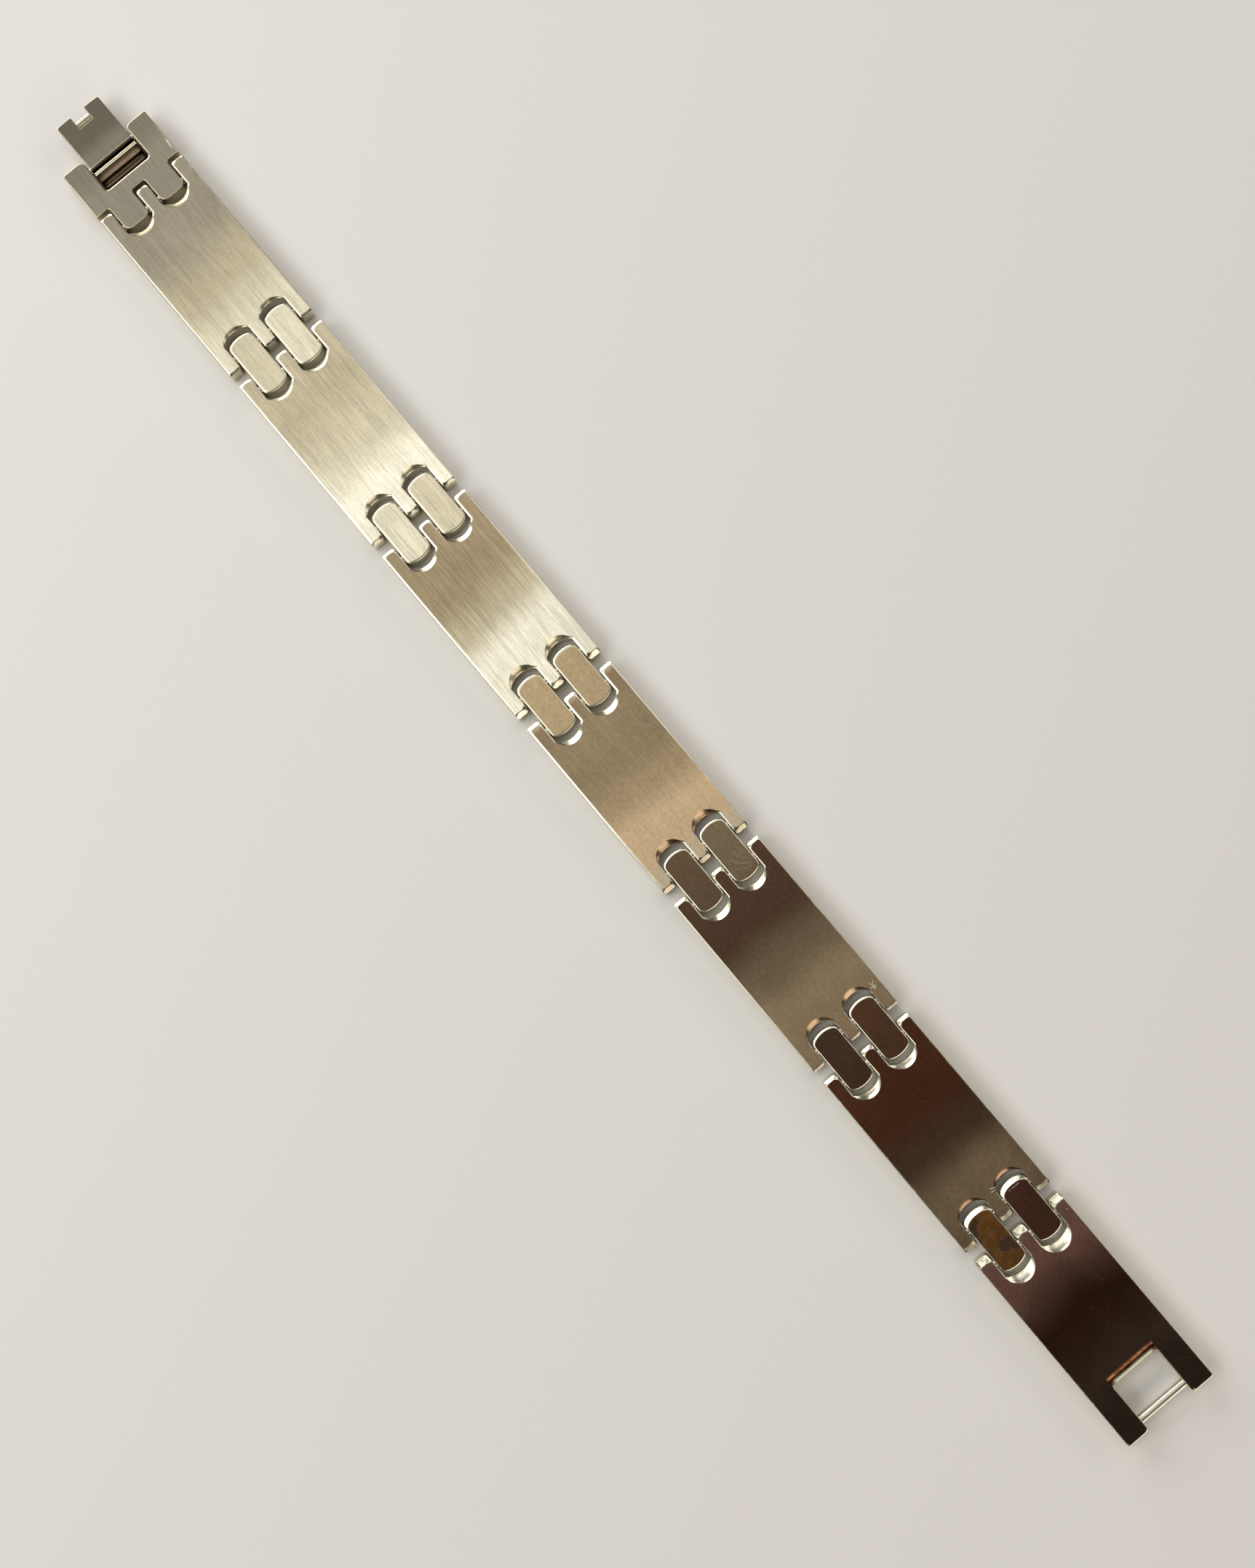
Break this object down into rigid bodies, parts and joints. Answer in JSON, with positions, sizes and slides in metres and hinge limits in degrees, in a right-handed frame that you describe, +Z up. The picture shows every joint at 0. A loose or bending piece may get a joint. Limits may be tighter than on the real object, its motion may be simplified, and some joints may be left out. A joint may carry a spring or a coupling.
{
  "type": "tungsten link bracelet",
  "caption": "Men's link bracelet of hard brushed plates, lying open, with pill-shaped connectors on pins, a fold-under clasp lever and a window with a catch bar.",
  "frame": {"origin": "under the middle of the open length, on the surface that the bracelet lies on", "axes": "+X along the bracelet from the clasp to the catch, +Y across its width, +Z up out of its brushed outer face"},
  "size_m": [0.2046, 0.013, 0.0024],
  "materials": {
    "clasp_steel": "brushed lengthwise, with polished rounded edges",
    "brushed_plate": "finely brushed lengthwise, with polished edges, finger-tip facets and scoops",
    "brushed_connector": "finely brushed lengthwise, with polished bevels at the ends",
    "polished_pin": "mirror polished"
  },
  "bodies": {
    "band": {"clasp_link": "clasp_steel", "lever_hinge_pin": "polished_pin", "link_pin_0": "polished_pin", "link_plate_1": "brushed_plate", "link_plate_2": "brushed_plate", "link_plate_3": "brushed_plate", "link_plate_4": "brushed_plate", "link_plate_5": "brushed_plate", "link_plate_6": "brushed_plate", "end_plate": "brushed_plate", "catch_bar": "polished_pin", "connector_1_left": "brushed_connector", "connector_1_right": "brushed_connector", "connector_2_left": "brushed_connector", "connector_2_right": "brushed_connector", "connector_3_left": "brushed_connector", "connector_3_right": "brushed_connector", "connector_4_left": "brushed_connector", "connector_4_right": "brushed_connector", "connector_5_left": "brushed_connector", "connector_5_right": "brushed_connector", "connector_6_left": "brushed_connector", "connector_6_right": "brushed_connector", "link_pin_1_in": "polished_pin", "link_pin_1_out": "polished_pin", "link_pin_2_in": "polished_pin", "link_pin_2_out": "polished_pin", "link_pin_3_in": "polished_pin", "link_pin_3_out": "polished_pin", "link_pin_4_in": "polished_pin", "link_pin_4_out": "polished_pin", "link_pin_5_in": "polished_pin", "link_pin_5_out": "polished_pin", "link_pin_6_in": "polished_pin", "link_pin_6_out": "polished_pin"},
    "lever": {"clasp_lever": "clasp_steel", "lever_snap_pin": "polished_pin"}
  },
  "joints": [
    {"name": "lever_hinge", "type": "hinge", "parent": "band", "child": "lever", "pos_m": [-0.0958, 0, 0.0012], "axis": [0, -1, 0], "range_deg": [0, 180]}
  ]
}
